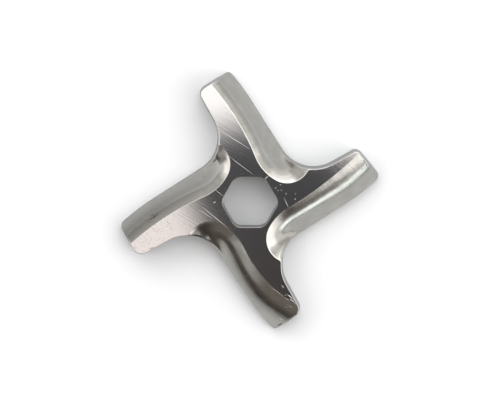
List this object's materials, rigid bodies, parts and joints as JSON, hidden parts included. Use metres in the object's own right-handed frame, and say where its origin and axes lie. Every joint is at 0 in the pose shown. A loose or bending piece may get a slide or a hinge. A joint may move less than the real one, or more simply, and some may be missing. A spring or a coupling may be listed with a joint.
{
  "type": "meat grinder knife",
  "caption": "Cross-shaped cast steel grinder knife with swept arms, a ground cutting face, rolled-over scoops behind the cutting edges and a hexagonal drive hole.",
  "frame": {"origin": "centre of the hexagonal drive hole in the flat bottom face", "axes": "+Z along the drive axis, out of the ground cutting face; +X toward a corner of the hexagon"},
  "size_m": [0.0458, 0.0458, 0.007],
  "materials": {
    "cast_steel": "satin as-cast sides with a finely ground, near mirror-bright cutting face"
  },
  "bodies": {
    "root": {"grinder_knife": "cast_steel"}
  },
  "joints": []
}
